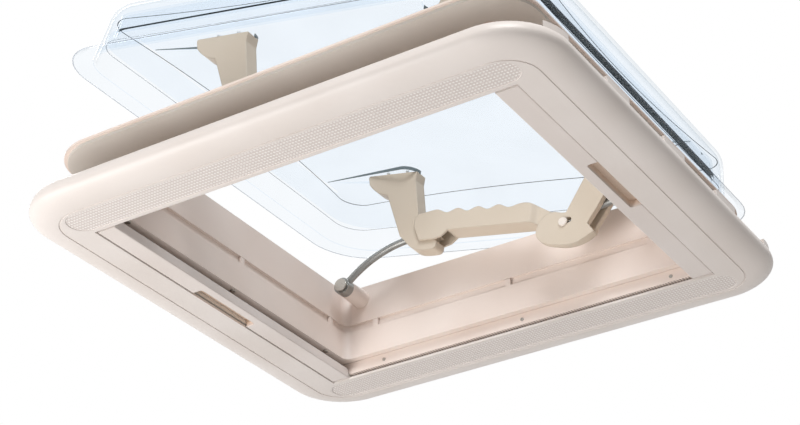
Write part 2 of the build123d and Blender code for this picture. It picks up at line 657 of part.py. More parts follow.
pin_ends = {"left": NOSE_W / 2 - SKIN - HEAD_GAP, "right": LEG_W / 2 + HEAD_GAP}
for word, reach in pin_ends.items():
    with BuildPart() as foot_pins:
        for sign in SIDES.values():
            with BuildSketch(Plane.XZ.offset(-sign * PLANE_Y)):
                with Locations(stay_ends[word]):
                    Circle(FOOT_PIN_R)
            extrude(amount=reach, both=True)
            for cheek in (1, -1):
                if word == "right":
                    with BuildSketch(Plane.XZ.offset(-sign * PLANE_Y + cheek * reach)):
                        with Locations(stay_ends[word]):
                            Circle(PIN_HEAD_R)
                    extrude(amount=cheek * PIN_HEAD_T, taper=PIN_HEAD_TAPER)
    save(foot_pins.part, f"foot_pins_{word}")

with BuildPart() as grip_pins:
    for sign in SIDES.values():
        with BuildSketch(Plane.XZ.offset(-sign * PLANE_Y)):
            with Locations((GRIP_PIN_X, GRIP_PIN_Z)):
                Circle(GRIP_PIN_R)
        extrude(amount=LEG_W / 2 - SKIN - HEAD_GAP, both=True)
save(opened(grip_pins.part), "grip_pins")

with BuildPart() as leg_screws:
    for head in ((LEFT_HEAD_OUT + LEFT_HEAD_IN) / 2, (RIGHT_HEAD_OUT + RIGHT_HEAD_IN) / 2):
        with BuildSketch(Plane.XY.offset(PLATEAU_Z + INNER_T)):
            with Locations((head, PLANE_Y), (head, -PLANE_Y)):
                with GridLocations(LEG_SCREW_PITCH, 0, 2, 1):
                    Circle(SCREW_R)
        extrude(amount=SCREW_HEAD_H)
save(opened(leg_screws.part), "leg_screws")


# Pull bars with their finger recess, and the shoes that run in the rails
def pull_bar(hand, width):
    outer = OPEN_X / 2 - BAR_GAP
    with BuildPart() as bar:
        with BuildSketch(Plane.XY.offset(BAR_LOW)):
            with Locations((hand * (outer - width / 2), 0)):
                Rectangle(width, 2 * BAR_HALF)
        extrude(amount=BAR_HIGH - BAR_LOW)
        fillet(bar.faces().sort_by(Axis.Z)[0].edges().filter_by(Axis.Y), 1.2)
        with BuildSketch(Plane.XY.offset(BAR_LOW)):
            with Locations((hand * outer, RECESS_Y)):
                RectangleRounded(2 * RECESS_W, RECESS_LEN, RECESS_R)
        extrude(amount=RECESS_TOP - BAR_LOW, mode=Mode.SUBTRACT)
        for end in (1, -1):
            with BuildSketch(Plane.XZ.offset(-end * BAR_HALF)):
                with Locations((hand * (outer - width / 2), (SHOE_LOW + SHOE_HIGH) / 2)):
                    Rectangle(SHOE_LEN - 4, SHOE_HIGH - SHOE_LOW)
            extrude(amount=end * 12, mode=Mode.SUBTRACT)
    return bar.part


def bar_shoes(hand, width):
    outer = OPEN_X / 2 - BAR_GAP
    with BuildPart() as shoes:
        for end in (1, -1):
            with BuildSketch(Plane.XY.offset(SHOE_LOW)):
                with Locations((hand * (outer - width / 2), end * (BAR_HALF - 12 + SHOE_REACH) / 2)):
                    Rectangle(SHOE_LEN - 4, SHOE_REACH - BAR_HALF + 12)
                with Locations((hand * (outer - width / 2), end * (BAR_HALF + SHOE_REACH) / 2)):
                    Rectangle(SHOE_LEN, SHOE_REACH - BAR_HALF)
            extrude(amount=SHOE_HIGH - SHOE_LOW)
    return shoes.part


def pleats(hand):
    """Folded stack of a pleated blind, fixed to its bar on one side and to its case on the other."""
    inner = OPEN_X / 2 - BAR_GAP
    points = []
    for i in range(PLEAT_COUNT + 1):
        level = PLEAT_LOW if i % 2 else PLEAT_HIGH - PLEAT_T
        points.append((hand * (inner + i * PLEAT_PITCH), level))
    lifted = [(x, z + PLEAT_T * 3) for x, z in reversed(points)]
    clipped = [(x, min(z, PLEAT_HIGH + PLEAT_T)) for x, z in lifted]
    with BuildPart() as stack:
        with BuildSketch(Plane.XZ):
            with BuildLine():
                Polyline(*points, *clipped, close=True)
            make_face()
        extrude(amount=CASE_HALF - 2, both=True)
    return stack.part


def blind_case(hand):
    """Open-fronted case over the folded blind, clipped to the trim."""
    inner = OPEN_X / 2 + 1
    with BuildPart() as case:
        with BuildSketch(Plane.XY.offset(WALL)):
            with Locations((hand * (inner + CASE_OUT) / 2, 0)):
                Rectangle(CASE_OUT - inner, 2 * CASE_HALF)
        extrude(amount=CASE_TOP - WALL)
        with BuildSketch(Plane.XY.offset(WALL)):
            with Locations((hand * (inner + CASE_OUT - CASE_T) / 2 - hand * CASE_T / 2, 0)):
                Rectangle(CASE_OUT - inner, 2 * CASE_HALF - 2 * CASE_T)
        extrude(amount=CASE_TOP - CASE_T - WALL, mode=Mode.SUBTRACT)
    return case.part


for name, hand, width in (("blackout", -1, BLACKOUT_W), ("flyscreen", 1, FLYSCREEN_W)):
    save(pull_bar(hand, width), f"{name}_bar")
    save(bar_shoes(hand, width), f"{name}_shoes")
    save(pleats(hand), f"{name}_pleats")
    save(blind_case(hand), f"{name}_case")


# Guide rails: a slot for the shoes under a rounded band
for side, sign in SIDES.items():
    with BuildPart() as rail:
        with BuildSketch(Plane.YZ):
            with BuildLine():
                Polyline(
                    (sign * RAIL_FACE, RAIL_LOW),
                    (sign * RAIL_SLOT, RAIL_LOW),
                    (sign * RAIL_SLOT, WALL),
                    (sign * RAIL_BACK, WALL),
                    (sign * RAIL_BACK, RAIL_HIGH),
                    (sign * RAIL_FACE, RAIL_HIGH),
                    close=True,
                )
            make_face()
        extrude(amount=RAIL_LEN / 2, both=True)
        fillet(rail.edges().filter_by(Axis.X).sort_by(Axis.Y)[-sign if sign < 0 else 0], 0.4)
        with BuildSketch(Plane.XZ.offset(-sign * RAIL_FACE)):
            with Locations((RAIL_SCREW_SHIFT, RAIL_SCREW_Z)):
                with GridLocations(RAIL_SCREW_PITCH, 0, 3, 1):
                    Circle(SCREW_R + FIT)
        extrude(amount=-sign * 8, mode=Mode.SUBTRACT)
    save(rail.part, f"rail_{side}")

# Small screws in the ledge and along the rails
with BuildPart() as ledge_screws:
    with BuildSketch(Plane.XY.offset(LEDGE_Z)):
        with Locations((0, LEDGE_SCREW_SHIFT)):
            with GridLocations(2 * LEDGE_SCREW_X, LEDGE_SCREW_PITCH, 2, 3):
                Circle(SCREW_HEAD_R)
    extrude(amount=-SCREW_HEAD_H, taper=8)
    with BuildSketch(Plane.XY.offset(LEDGE_Z)):
        with Locations((0, LEDGE_SCREW_SHIFT)):
            with GridLocations(2 * LEDGE_SCREW_X, LEDGE_SCREW_PITCH, 2, 3):
                Circle(SCREW_R)
    extrude(amount=SLEEVE_LOW - LEDGE_Z - 1)
save(ledge_screws.part, "ledge_screws")

with BuildPart() as rail_screws:
    for sign in SIDES.values():
        with BuildSketch(Plane.XZ.offset(-sign * RAIL_FACE)):
            with Locations((RAIL_SCREW_SHIFT, RAIL_SCREW_Z)):
                with GridLocations(RAIL_SCREW_PITCH, 0, 3, 1):
                    Circle(SCREW_R)
        extrude(amount=-sign * 7)
save(rail_screws.part, "rail_screws")
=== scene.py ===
# %% [markdown]
# # A roof window for a caravan, seen from below
# The solids come from the part's CAD model and are not moved here. This file gives them their
# finishes, and adds what is too fine for the solids: folded cloth, screw heads, racks, fold lines
# and the dome's thin brim. Everything is in metres: X runs from the blackout side to the flyscreen
# side, Z points out through the roof, and the trim's flat face lies at Z = 0 and looks down.

# %% Load the frame
import math

import bmesh
import bpy
from mathutils import Matrix, Vector


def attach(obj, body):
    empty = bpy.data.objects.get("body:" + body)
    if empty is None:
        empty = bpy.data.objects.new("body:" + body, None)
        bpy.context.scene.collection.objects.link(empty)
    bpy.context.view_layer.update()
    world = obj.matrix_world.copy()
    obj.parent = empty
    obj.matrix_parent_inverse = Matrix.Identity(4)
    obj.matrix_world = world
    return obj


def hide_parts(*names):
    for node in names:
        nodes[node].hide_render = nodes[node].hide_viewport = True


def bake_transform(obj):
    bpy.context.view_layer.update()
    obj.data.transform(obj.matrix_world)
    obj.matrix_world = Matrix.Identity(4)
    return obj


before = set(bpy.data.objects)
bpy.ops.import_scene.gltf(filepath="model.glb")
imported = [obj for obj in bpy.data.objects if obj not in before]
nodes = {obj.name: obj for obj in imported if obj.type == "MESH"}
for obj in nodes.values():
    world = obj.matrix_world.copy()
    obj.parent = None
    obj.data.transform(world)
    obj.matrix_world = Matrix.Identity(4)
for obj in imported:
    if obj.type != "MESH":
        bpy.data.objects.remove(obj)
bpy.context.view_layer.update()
MM = 0.001
SIDES = {"far": 1, "near": -1}
print("nodes", len(nodes))

# %% [markdown]
# ## Camera
# The photograph was taken with a long lens from below the ceiling, looking up by about thirty
# degrees. The camera's axes are worked out from its turn, its look upwards and a small roll,
# because a matrix built from three axes can't tip over the way that separate angles can.

# %% Camera
CAMERA_AT = Vector((0.80833, -1.37467, -0.86995))
TURN = math.radians(30.8623)
LOOK_UP = math.radians(29.8381)
ROLL = math.radians(-1.5730)
LENS = 88.215
SENSOR = 36.0

forward = Vector((
    -math.sin(TURN) * math.cos(LOOK_UP), math.cos(TURN) * math.cos(LOOK_UP), math.sin(LOOK_UP),
))
sideways = Vector((math.cos(TURN), math.sin(TURN), 0))
upward = sideways.cross(forward)
across = sideways * math.cos(ROLL) + upward * math.sin(ROLL)
over = upward * math.cos(ROLL) - sideways * math.sin(ROLL)
axes = Matrix((across, over, -forward)).transposed().to_4x4()
lens = bpy.data.cameras.new("camera")
lens.lens = LENS
lens.sensor_width = SENSOR
camera = bpy.data.objects.new("camera", lens)
camera.matrix_world = Matrix.Translation(CAMERA_AT) @ axes
bpy.context.collection.objects.link(camera)
bpy.context.scene.camera = camera
bpy.context.scene.view_settings.view_transform = "Standard"
print("camera distance", round(CAMERA_AT.length, 3))

# %% [markdown]
# ## Writing a material as a formula
# A material is a sheet of nodes. Wired by hand it is hard to read, so a few small classes let it be
# written as arithmetic. A Reading is one output socket, and the usual signs on it add Math nodes.
# A Sheet is the nodes of one material or of the world, and its add method makes any node. A Finish
# is a material's sheet, with the patterns that several finishes share.

# %% Arithmetic on sockets
class Reading:
    """One output of a sheet's nodes, ready for arithmetic."""

    def __init__(self, sheet, socket):
        self.sheet = sheet
        self.socket = socket

    def math(self, operation, *others):
        """A Math node with this reading as its first term."""
        terms = dict(enumerate((self, *others)))
        return self.sheet.add("ShaderNodeMath", {"operation": operation}, terms)

    def __add__(self, other):
        return self.math("ADD", other)

    def __sub__(self, other):
        return self.math("SUBTRACT", other)

    def __mul__(self, other):
        return self.math("MULTIPLY", other)

    def __lt__(self, other):
        return self.math("LESS_THAN", other)

    def __abs__(self):
        return self.math("ABSOLUTE")


class Sheet:
    """The nodes of one material or of the world."""

    def __init__(self, owner):
        owner.use_nodes = True
        self.tree = owner.node_tree
        self.tree.nodes.clear()

    def add(self, kind, settings=None, values=None, out=0):
        """Make a node, give it its settings, then fill or link its sockets."""
        node = self.tree.nodes.new(kind)
        for key, value in (settings or {}).items():
            setattr(node, key, value)
        for key, value in (values or {}).items():
            if isinstance(value, Reading):
                self.tree.links.new(value.socket, node.inputs[key])
            else:
                node.inputs[key].default_value = value
        return Reading(self, node.outputs[out]) if node.outputs else None


class Finish(Sheet):
    """One material of the window, built node by node."""

    def __init__(self, name):
        self.material = bpy.data.materials.new(name)
        super().__init__(self.material)
        self.place = self.add("ShaderNodeTexCoord", out="Object")

    def stretched(self, x=1.0, y=1.0, z=1.0):
        """Object coordinates, scaled along each axis."""
        return self.add("ShaderNodeMapping", values={"Vector": self.place, "Scale": (x, y, z)})

    def noise(self, size, detail=2.0, where=None):
        """Smooth noise whose patches measure about size metres."""
        values = {"Vector": where or self.place, "Scale": 1.0 / size, "Detail": detail}
        return self.add("ShaderNodeTexNoise", values=values)

    def spread(self, share, low, high, new_low=0.0, new_high=1.0):
        """Stretch a reading from one range to another, and clip it there."""
        values = {0: share, 1: low, 2: high, 3: new_low, 4: new_high}
        return self.add("ShaderNodeMapRange", values=values)

    def mix(self, share, low, high):
        """Blend two colours."""
        values = {0: share, 6: low, 7: high}
        return self.add("ShaderNodeMix", {"data_type": "RGBA"}, values, out=2)

    def relief(self, height, depth, normal=None):
        """Turn a height between 0 and 1 into a bump of the given depth in metres."""
        values = {"Height": height, "Distance": depth, "Strength": 1.0}
        if normal:
            values["Normal"] = normal
        return self.add("ShaderNodeBump", values=values)

    def soft_edges(self, radius):
        """Round the sharp edges of a solid in its shading."""
        return self.add("ShaderNodeBevel", {"samples": 6}, {"Radius": radius})

    def axes(self):
        """The three coordinates as separate readings."""
        split = self.add("ShaderNodeSeparateXYZ", values={0: self.place})
        return [Reading(self, output) for output in split.socket.node.outputs]

    def surface(self, values):
        """Close the finish with its main shader."""
        return self.output(self.add("ShaderNodeBsdfPrincipled", values=values))

    def output(self, shader):
        self.add("ShaderNodeOutputMaterial", values={"Surface": shader})
        return self.material


def paint(red, green, blue):
    """A colour given on the 0 to 255 scale of a photograph, as the shaders want it."""
    light = []
    for value in (red / 255, green / 255, blue / 255):
        light.append(value / 12.92 if value < 0.04 else ((value + 0.055) / 1.055) ** 2.4)
    return (*light, 1.0)


def dress(finish, *names):
    """Give one material to the CAD nodes named."""
    for name in names:
        for slot in nodes[name].material_slots:
            slot.material = finish


def piece(name, mesh, finish):
    """Turn a bmesh into an object at the origin that wears one material."""
    data = bpy.data.meshes.new(name)
    mesh.to_mesh(data)
    mesh.free()
    made = bpy.data.objects.new(name, data)
    bpy.context.collection.objects.link(made)
    made.data.materials.append(finish)
    return made


print("helpers ready")

# %% [markdown]
# ## Moulded plastics
# The trim, the bars and the shaft are one family of injection-moulded plastic: a warm off-white with
# a fine spark-eroded grain that breaks up its gloss. The grain is a small bump, and a slow noise
# moves the colour and the gloss a little, as in a real moulding whose wall varies. In the bars'
# finger recesses the colour turns warmer and darker with depth: painted shade.

# %% Plastic finishes
RECESS_X = 210.8 * MM
RECESS_Y = -7.0 * MM
RECESS_HALF_W = 5.7 * MM
RECESS_HALF_LEN = 44.3 * MM
RECESS_MOUTH = 0.8 * MM
RECESS_FULL_SHADE = 5.0 * MM
# Painted shade: the bars' finger recesses turn to this warm, darker tone with depth.
RECESS_PAINTED_SHADE = paint(234, 211, 192)


def recess_painted_shade(finish):
    """How deep a point lies in the finger recess of either bar: the mask for the recess's painted shade.
    """
    x, y, z = finish.axes()
    in_width = abs(abs(x) - RECESS_X) < RECESS_HALF_W
    in_length = abs(y - RECESS_Y) < RECESS_HALF_LEN
    return in_width * in_length * finish.spread(z, RECESS_MOUTH, RECESS_FULL_SHADE)


def moulded(name, colour, deep, gloss, grain=0.00035, depth=0.00003, edge=0.0004, recess=False):
    """Plastic between two tones, with a grain of the given size and depth, and softened edges; with
    recess, painted shade deepens in the bars' finger recesses.
    """
    finish = Finish(name)
    slow = finish.noise(0.09, 1.0)
    fine = finish.noise(grain, 1.0)
    scuff = finish.noise(0.012, 4.0)
    base = finish.mix(finish.spread(slow, 0.35, 0.65), deep, colour)
    if recess:
        # Painted shade in the finger recess, deeper towards its floor.
        base = finish.mix(recess_painted_shade(finish), base, RECESS_PAINTED_SHADE)
    rough = finish.spread(scuff, 0.3, 0.7, gloss - 0.02, gloss + 0.03)
    normal = finish.relief(fine, depth, finish.soft_edges(edge))
    return finish.surface({"Base Color": base, "Roughness": rough, "Normal": normal, "IOR": 1.5})


trim_plastic = moulded("trim_plastic", paint(231, 223, 218), paint(226, 217, 211), 0.38)
bar_plastic = moulded("bar_plastic", paint(229, 220, 215), paint(223, 213, 207), 0.42, recess=True)
shaft_plastic = moulded("frame_plastic", paint(236, 222, 213), paint(230, 214, 204), 0.45)
leg_plastic = moulded("leg_plastic", paint(213, 199, 181), paint(207, 192, 173), 0.4, edge=0.0018)
shoe_plastic = moulded("shoe_plastic", paint(206, 200, 194), paint(198, 191, 185), 0.4)
pin_plastic = moulded("pin_plastic", paint(236, 226, 216), paint(230, 219, 208), 0.3)
screw_caps = moulded("screw_caps", paint(240, 242, 244), paint(234, 238, 241), 0.5)
sealing_tape = moulded(
    "sealing_tape", paint(224, 219, 212), paint(214, 208, 200), 0.7, grain=0.0012, depth=0.0001,
)
# Darker than the shaft plastic: painted shade for the shadow under the rails' lips.
rack_plastic_painted_shade = moulded("rack_plastic_painted_shade", paint(200, 188, 180), paint(190, 178, 170), 0.5)
dress(trim_plastic, "inner_trim")
dress(bar_plastic, "blackout_bar", "flyscreen_bar")
dress(shaft_plastic, "light_shaft", "outer_frame", "rail_far", "rail_near")
dress(shaft_plastic, "blackout_case", "flyscreen_case")
for side in SIDES:
    dress(leg_plastic, f"leg_left_{side}", f"leg_right_{side}", f"grip_{side}")
dress(shoe_plastic, "blackout_shoes", "flyscreen_shoes")
dress(pin_plastic, "foot_pins_right")
dress(screw_caps, "leg_screws")
dress(sealing_tape, "roof_gasket")
print("plastics dressed")

# %% [markdown]
# ## Dotted grilles
# Beside the opening lie two stadium-shaped inserts, moulded all over with rows of small pimples.
# There are over a thousand on each, so they are a pattern and not a mesh: one grid of round spots,
# read from the object's own X and Y. Each pimple catches more light than the ground between, so
# the spots are painted a paler tone: a painted highlight.

# %% Grille finish
SPOT_STEP_X = 3.1 * MM
SPOT_STEP_Y = 3.86 * MM
SPOT_CROWN = 0.735 * MM
SPOT_FOOT = 1.3125 * MM
SPOT_RISE = 0.3 * MM
FIELD_HALF = 213.8 * MM
FIELD_Y = 216.2 * MM
FIELD_R = 15.2 * MM


def off_spot(place, step):
    """Distance along one axis from the middle of the nearest row of spots."""
    share = place * (1 / step)
    return (share.math("FRACT") - 0.5) * step


grille = Finish("grille_plastic")
x, y = grille.axes()[:2]
off_x = off_spot(x, SPOT_STEP_X)
off_y = off_spot(y, SPOT_STEP_Y)
off_middle = (off_x * off_x + off_y * off_y).math("SQRT")
past_end = (abs(x) - FIELD_HALF).math("MAXIMUM", 0.0)
off_line = abs(y) - FIELD_Y
in_field = past_end * past_end + off_line * off_line < FIELD_R * FIELD_R
pimple = grille.spread(off_middle, SPOT_CROWN, SPOT_FOOT, 1.0, 0.0) * in_field
ground = grille.mix(in_field, paint(230, 222, 217), paint(218, 208, 203))
grille_plastic = grille.surface({
    # The pimples are painted paler than the ground: a painted highlight.
    "Base Color": grille.mix(pimple, ground, paint(246, 241, 237)),
    "Roughness": 0.48,
    "Normal": grille.relief(pimple, SPOT_RISE, grille.soft_edges(0.0003)),
})
dress(grille_plastic, "grille_far", "grille_near")
print("grilles dressed")

# %% [markdown]
# ## Clear dome, rubber and metal
# The dome is thermoformed acrylic with a light blue cast from the sky behind it. From inside it shows
# only where it turns away from the eye, because more light is lost in the sheet there. A see-through
# shader is mixed with a glossy one by how far the sheet turns.

# %% Acrylic
acrylic = Finish("dome_acrylic")
turned = acrylic.add("ShaderNodeLayerWeight", values={"Blend": 0.35}, out="Facing")
haze = acrylic.noise(0.06, 2.0)
cover = acrylic.spread(turned, 0.5, 1.0, 0.008, 0.4) + acrylic.spread(haze, 0.4, 0.6, 0.0, 0.01)
glossy = acrylic.add("ShaderNodeBsdfPrincipled", values={
    "Base Color": paint(178, 196, 205), "Roughness": 0.08, "IOR": 1.49,
})
clear = acrylic.add("ShaderNodeBsdfTransparent", values={"Color": (0.970, 0.985, 1.0, 1.0)})
sheet = acrylic.add("ShaderNodeMixShader", values={0: cover, 1: clear, 2: glossy})
dome_acrylic = acrylic.output(sheet)
dress(dome_acrylic, "dome_outer_pane", "dome_inner_pane")


# %% Rubber and metal
def metal(name, colour, gloss, along):
    """Drawn or turned steel, with a faint brushed grain along its length."""
    finish = Finish(name)
    brushed = finish.noise(0.0006, 2.0, finish.stretched(*along))
    cloud = finish.noise(0.02, 2.0)
    dull = (*(value * 0.88 for value in colour[:3]), 1.0)
    base = finish.mix(finish.spread(cloud, 0.35, 0.65), dull, colour)
    rough = finish.spread(brushed, 0.3, 0.7, gloss - 0.06, gloss + 0.08)
    normal = finish.relief(brushed, 0.000015, finish.soft_edges(0.0003))
    values = {"Base Color": base, "Roughness": rough, "Metallic": 0.9, "Normal": normal}
    return finish.surface(values)


rubber = Finish("seal_rubber")
speck = rubber.noise(0.0008, 2.0)
bloom = rubber.noise(0.03, 3.0)
seal_rubber = rubber.surface({
    "Base Color": rubber.mix(rubber.spread(bloom, 0.45, 0.75), paint(46, 46, 47), paint(70, 69, 68)),
    "Roughness": rubber.spread(speck, 0.3, 0.7, 0.6, 0.75),
    "Normal": rubber.relief(speck, 0.00004),
})
stay_steel = metal("stay_steel", paint(158, 158, 155), 0.36, (0.15, 1.0, 0.4))
fixings_steel = metal("fixings_steel", paint(190, 184, 176), 0.3, (1.0, 1.0, 1.0))
dress(seal_rubber, "dome_seal")
for side in SIDES:
    dress(stay_steel, f"stay_left_{side}", f"stay_right_{side}")
dress(fixings_steel, "pivot_screws", "foot_pins_left", "grip_pins", "ledge_screws", "rail_screws")
print("acrylic, rubber and metal dressed")

# %% [markdown]
# ## Folds of the inner pane
# A clear sheet shows where it is folded, because a fold bends the light away. Each fold is a thin
# bead: a small square section carried round a rounded rectangle. The bead is drawn for the closed
# dome, in millimetres, and is then tipped to where the dome stands open and made to ride on it.

# %% Tools for the dome's skins
TILT = math.radians(12.5)
RIM = Vector((235.0, 0, 73.0)) * MM
PANE_TURN = Matrix.Translation(RIM) @ Matrix.Rotation(TILT, 4, "Y") @ Matrix.Translation(-RIM)
QUARTERS = ((1, 1), (-1, 1), (-1, -1), (1, -1))
ARC_STEPS = 8
SIDE_STEPS = 16


def fold_shade_finish(name, colour, cover):
    """A tint that covers only part of what lies behind it: painted shade for light that a fold or step
    bends away.
    """
    finish = Finish(name)
    cloud = finish.noise(0.05, 2.0)
    tint = finish.add("ShaderNodeBsdfPrincipled", values={"Base Color": colour, "Roughness": 0.25})
    clear = finish.add("ShaderNodeBsdfTransparent")
    share = finish.spread(cloud, 0.3, 0.7, cover - 0.05, cover)
    return finish.output(finish.add("ShaderNodeMixShader", values={0: share, 1: clear, 2: tint}))


def ring(half_x, half_y, corner, bow, height):
    """Points round a rounded rectangle whose sides bow inwards between the corners."""
    points = []
    for quarter, (sign_x, sign_y) in enumerate(QUARTERS):
        middle = Vector((sign_x * (half_x - corner), sign_y * (half_y - corner), height))
        for step in range(ARC_STEPS + 1):
            angle = math.pi / 2 * (quarter + step / ARC_STEPS)
            points.append(middle + Vector((math.cos(angle), math.sin(angle), 0)) * corner)
        start = points[-1]
        turn = Matrix.Rotation(math.pi / 2 * quarter, 3, "Z")
        length = 2 * ((half_y if quarter % 2 else half_x) - corner)
        for step in range(1, SIDE_STEPS):
            share = step / SIDE_STEPS
            dip = 4 * bow * share * (1 - share)
            points.append(start + turn @ Vector((-length * share, -dip, 0)))
    return points


def stretch_skin(mesh, rows, closed):
    """Faces from each row of corners to the next, and from the last row to the first."""
    for row, after in zip(rows, rows[1:] + rows[:1]):
        for index in range(len(row) if closed else len(row) - 1):
            follow = (index + 1) % len(row)
            mesh.faces.new((row[index], row[follow], after[follow], after[index]))


def dome_skin(name, mesh, finish):
    """Bring a mesh drawn for the closed dome to where the dome is, and make it ride there."""
    bmesh.ops.scale(mesh, vec=(MM, MM, MM), verts=mesh.verts)
    bmesh.ops.transform(mesh, matrix=PANE_TURN, verts=mesh.verts)
    bmesh.ops.recalc_face_normals(mesh, faces=mesh.faces)
    skin = piece(name, mesh, finish)
    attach(skin, "dome")


def band(name, rings, finish):
    """A closed skin over rings of points that all have the same length."""
    mesh = bmesh.new()
    rows = [[mesh.verts.new(point) for point in points] for points in rings]
    stretch_skin(mesh, rows, closed=True)
    dome_skin(name, mesh, finish)


# %% Fold lines
BEAD = ((0.0, 0.0), (0.4, -0.4), (0.0, -0.8), (-0.4, -0.4))
# The beads' tints are painted shade, where the folds bend the light away.
dark_fold = fold_shade_finish("dark_fold", paint(74, 80, 88), 0.9)
pale_fold = fold_shade_finish("pale_fold", paint(150, 160, 170), 0.45)
faint_fold = fold_shade_finish("faint_fold", paint(160, 172, 190), 0.4)
# Name, half lengths in X and Y, corner radius, bow of the sides, height, finish
FOLD_LINES = (
    ("plateau_fold", 223.5, 211.5, 22.0, 13.0, 119.6, dark_fold),
    ("step_fold", 226.5, 218.5, 26.0, 2.0, 92.5, pale_fold),
    ("brim_fold", 253.0, 245.5, 52.0, 0.0, 70.9, faint_fold),
)
for name, half_x, half_y, corner, bow, height, finish in FOLD_LINES:
    rings = [ring(half_x + out, half_y + out, corner, bow, height + up) for out, up in BEAD]
    band(name, rings, finish)
print("folds drawn")

# %% [markdown]
# ## The dome's brim
# The outer pane ends in a brim that spreads over the roof flange and turns down at its lip, so that
# rain drips clear. It is the same sheet, so it takes the same acrylic, as a closed thin section.

# %% Brim
# Half lengths in X and Y, corner radius, bow and height, out along the top and back underneath
BRIM = (
    (235.0, 233.0, 44.0, 0.0, 74.4), (245.5, 240.5, 48.0, 0.0, 74.1), (253.0, 245.5, 52.0, 0.0, 70.9),
    (253.0, 245.5, 52.0, 0.0, 69.9), (245.5, 240.5, 48.0, 0.0, 73.1), (235.0, 233.0, 44.0, 0.0, 73.4),
)
band("dome_brim", [ring(*outline) for outline in BRIM], dome_acrylic)
print("brim made")

# %% [markdown]
# ## Pads under the legs' heads
# Where a leg's head is screwed on, the inner pane has a low pad that runs out to a point at the
# plateau's edge. Only the side towards the pane's middle is a step, and it is seen on edge, so it
# gets a strip of its own. The strip is lowest at the point and as high as the pad at the head, so
# it reads as a dark wedge that ends in an arc.

# %% Pad walls
PAD_HEAD = Vector((109.0, 150.0))
PAD_R = 15.0
PAD_POINT = Vector((214.0, 152.0))
POINT_R = 1.0
PAD_LOW = 116.6
PAD_HIGH = 120.2
WALL_LEAST = 0.5
WALL_HALF = 0.25
FULL_AT = 112.0
HEAD_ARC = math.radians(100)
HEAD_STEPS = 16


def inner_side(hand, sign, spare):
    """The pad's side towards the pane's middle, from its point to the head and round it."""
    run = PAD_POINT - PAD_HEAD
    lean = math.atan2(run.y, run.x) - math.acos((PAD_R - POINT_R) / run.length)
    spots = [PAD_POINT + Vector((math.cos(lean), math.sin(lean))) * (POINT_R + spare)]
    for step in range(HEAD_STEPS + 1):
        angle = lean - HEAD_ARC * step / HEAD_STEPS
        spots.append(PAD_HEAD + Vector((math.cos(angle), math.sin(angle))) * (PAD_R + spare))
    return [Vector((hand * spot.x, sign * spot.y)) for spot in spots]


def foot_height(reach):
    """Height of the wall's foot: it drops from the pad's point, where the wall is least, to the head."""
    share = min(1.0, max(0.0, (PAD_POINT.x - reach) / (PAD_POINT.x - FULL_AT)))
    least = PAD_HIGH - WALL_LEAST
    return least + (PAD_LOW - least) * share


def pad_wall(name, hand, sign):
    """A thin upright strip along that side, closed all round."""
    mesh = bmesh.new()
    rows = []
    for spare, top in ((WALL_HALF, False), (WALL_HALF, True), (-WALL_HALF, True), (-WALL_HALF, False)):
        row = []
        for spot in inner_side(hand, sign, spare):
            height = PAD_HIGH if top else foot_height(abs(spot.x))
            row.append(mesh.verts.new((spot.x, spot.y, height)))
        rows.append(row)
    stretch_skin(mesh, rows, closed=False)
    mesh.faces.new([row[0] for row in rows])
    mesh.faces.new([row[-1] for row in reversed(rows)])
    dome_skin(name, mesh, pad_edge)


# The strip's dark tint is painted shade: a step in the clear pane, seen on edge, bends the light away.
pad_edge = fold_shade_finish("pad_edge", paint(108, 120, 124), 0.92)
for side, sign in SIDES.items():
    for hand, word in ((-1, "left"), (1, "right")):
        pad_wall(f"pad_wall_{word}_{side}", hand, sign)
print("pad walls made")

# %% [markdown]
# ## Screw heads
# The CAD screws are plain pins with a cap. The real ones have domed heads with a cross for the
# driver. A head starts as a circle, is drawn up in three rings, and its top is inset; every other
# pair of corners of that inset is pulled inwards, which makes the cross, and the cross is pushed down.

# %% Screw heads
HEAD_CORNERS = 24
# Shares of the rise and of the width that each ring of the dome adds and keeps
HEAD_RINGS = ((0.45, 1.0), (0.35, 0.9), (0.2, 0.72))
CROSS_MARGIN = 0.12
CROSS_WAIST = 0.42
CROSS_DEPTH = 0.55
BETWEEN_ARMS = 0.45


def screw_head(mesh, at, facing, radius, rise):
    """Add one domed head with a cross recess to a bmesh, standing at a point and facing outwards."""
    up = Vector(facing)
    place = Matrix.Translation(at) @ up.to_track_quat("Z", "Y").to_matrix().to_4x4()
    made = bmesh.ops.create_circle(
        mesh, cap_ends=True, segments=HEAD_CORNERS, radius=radius, matrix=place,
    )
    top = made["verts"][0].link_faces[0]
    for lift, width in HEAD_RINGS:
        top = bmesh.ops.extrude_discrete_faces(mesh, faces=[top])["faces"][0]
        bmesh.ops.translate(mesh, verts=top.verts, vec=up * rise * lift)
        centre = top.calc_center_median()
        shrink = Matrix.Translation(centre) @ Matrix.Scale(width, 4) @ Matrix.Translation(-centre)
        bmesh.ops.transform(mesh, matrix=shrink, verts=top.verts)
    bmesh.ops.inset_region(mesh, faces=[top], thickness=radius * CROSS_MARGIN)
    centre = top.calc_center_median()
    flat = place.inverted()
    for vert in top.verts:
        spot = flat @ vert.co
        if abs(math.sin(2 * math.atan2(spot.y, spot.x))) > BETWEEN_ARMS:
            vert.co = centre.lerp(vert.co, CROSS_WAIST)
    cross = bmesh.ops.extrude_discrete_faces(mesh, faces=[top])["faces"][0]
    bmesh.ops.translate(mesh, verts=cross.verts, vec=up * -rise * CROSS_DEPTH)


def screw_set(name, node, heads, radius, rise):
    """One object with a whole set of heads, which stands for the plain CAD screws."""
    mesh = bmesh.new()
    for at, facing in heads:
        screw_head(mesh, at, facing, radius, rise)
    bmesh.ops.remove_doubles(mesh, verts=mesh.verts, dist=0.00001)
    bmesh.ops.recalc_face_normals(mesh, faces=mesh.faces)
    screws = piece(name, mesh, fixings_steel)
    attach(screws, "frame")
    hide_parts(node)
    print(name, len(heads), "heads")


